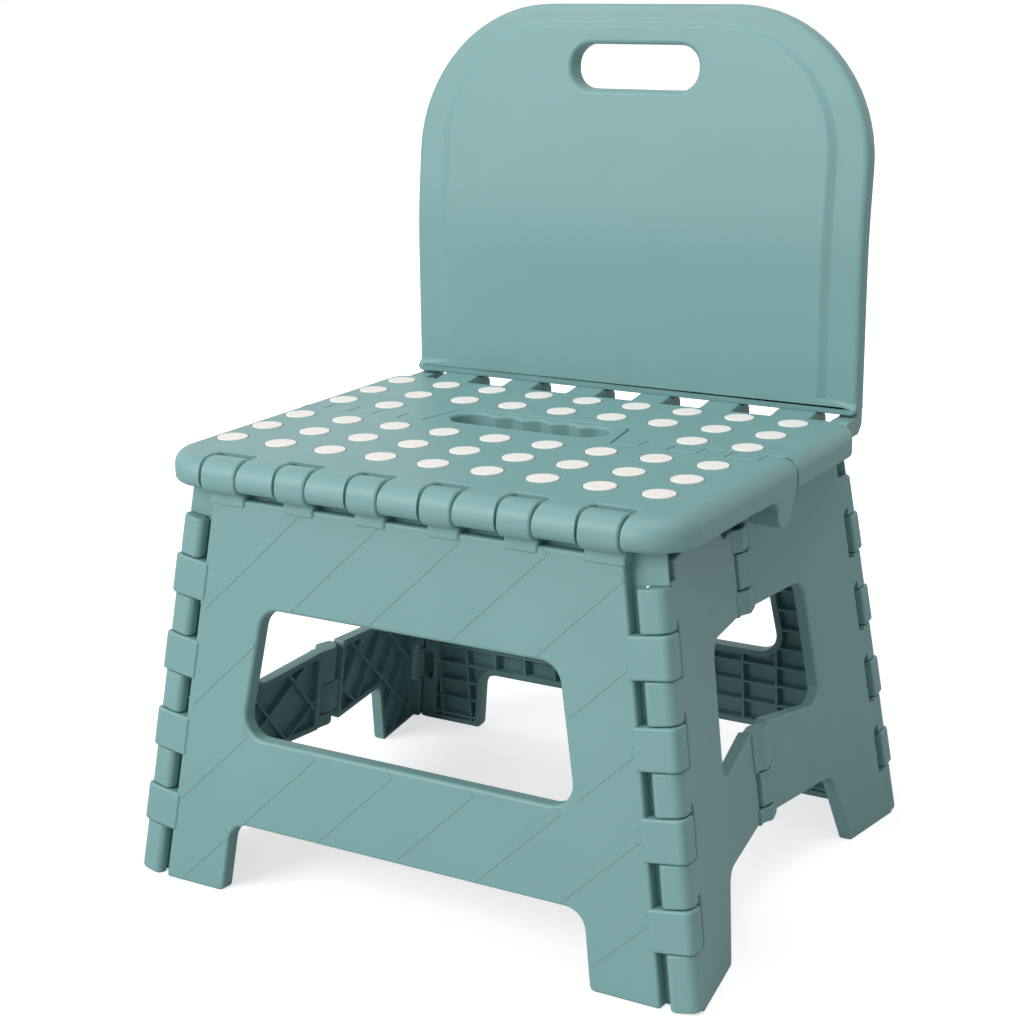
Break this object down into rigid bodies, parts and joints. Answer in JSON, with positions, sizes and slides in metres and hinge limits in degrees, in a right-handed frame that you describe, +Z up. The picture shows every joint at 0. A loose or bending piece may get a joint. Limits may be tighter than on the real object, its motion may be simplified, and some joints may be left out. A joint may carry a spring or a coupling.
{
  "type": "folding step stool chair",
  "caption": "Low plastic folding step stool with a folding backrest: hinged seat halves, panel legs and inward-folding sides.",
  "frame": {"origin": "on the floor under the middle of the seat", "axes": "+Z up, -Y to the front where the sitter faces, +X to the right when looking at the front"},
  "size_m": [0.317, 0.2632, 0.4255],
  "materials": {
    "shell": "grey-green moulded polypropylene with a soft satin sheen",
    "dots": "warm white soft-touch elastomer, matte",
    "steel": "plain drawn steel rod"
  },
  "bodies": {
    "front_leg": {"front_leg_panel": "shell", "front_seat_hinge_rod": "steel", "right_front_corner_rod": "steel", "left_front_corner_rod": "steel"},
    "front_seat": {"front_seat_half": "shell", "front_grip_dots": "dots", "centre_hinge_pin_right": "steel", "centre_hinge_pin_left": "steel"},
    "rear_seat": {"rear_seat_half": "shell", "rear_grip_dots": "dots", "rear_seat_hinge_rod": "steel"},
    "rear_leg": {"rear_leg_panel": "shell", "right_rear_corner_rod": "steel", "left_rear_corner_rod": "steel"},
    "backrest": {"backrest_panel": "shell", "backrest_pivot_pin_right": "steel", "backrest_pivot_pin_left": "steel"},
    "right_front_side": {"right_front_side_panel": "shell"},
    "left_front_side": {"left_front_side_panel": "shell"},
    "right_rear_side": {"right_rear_side_panel": "shell"},
    "left_rear_side": {"left_rear_side_panel": "shell"}
  },
  "joints": [
    {"name": "seat_fold", "type": "hinge", "parent": "front_leg", "child": "front_seat", "pos_m": [0, -0.1105, 0.2105], "axis": [1, 0, 0], "range_deg": [0, 82]},
    {"name": "centre_hinge", "type": "hinge", "parent": "front_seat", "child": "rear_seat", "pos_m": [0, 0, 0.1985], "axis": [-1, 0, 0], "range_deg": [0, 173.21]},
    {"name": "rear_leg_hinge", "type": "hinge", "parent": "rear_seat", "child": "rear_leg", "pos_m": [0, 0.1105, 0.2105], "axis": [1, 0, 0], "range_deg": [0, 82]},
    {"name": "right_front_corner_hinge", "type": "hinge", "parent": "front_leg", "child": "right_front_side", "pos_m": [0.15, -0.1215, 0], "axis": [-0.1401, 0.0888, 0.9862], "range_deg": [0, 80.61]},
    {"name": "left_front_corner_hinge", "type": "hinge", "parent": "front_leg", "child": "left_front_side", "pos_m": [-0.15, -0.1215, 0], "axis": [-0.1401, -0.0888, -0.9862], "range_deg": [0, 80.61]},
    {"name": "right_rear_corner_hinge", "type": "hinge", "parent": "rear_leg", "child": "right_rear_side", "pos_m": [0.15, 0.1215, 0], "axis": [0.1401, 0.0888, -0.9862], "range_deg": [0, 80.61]},
    {"name": "left_rear_corner_hinge", "type": "hinge", "parent": "rear_leg", "child": "left_rear_side", "pos_m": [-0.15, 0.1215, 0], "axis": [0.1401, -0.0888, 0.9862], "range_deg": [0, 80.61]},
    {"name": "backrest_hinge", "type": "hinge", "parent": "rear_seat", "child": "backrest", "pos_m": [0, 0.101, 0.2145], "axis": [1, 0, 0], "range_deg": [0, 90]}
  ],
  "couplings": [
    {"joint": "centre_hinge", "follows": "seat_fold", "ratio": 2.1122},
    {"joint": "rear_leg_hinge", "follows": "seat_fold", "ratio": 1},
    {"joint": "right_front_corner_hinge", "follows": "seat_fold", "ratio": 0.98293},
    {"joint": "left_front_corner_hinge", "follows": "seat_fold", "ratio": 0.98293},
    {"joint": "right_rear_corner_hinge", "follows": "seat_fold", "ratio": 0.98293},
    {"joint": "left_rear_corner_hinge", "follows": "seat_fold", "ratio": 0.98293}
  ]
}
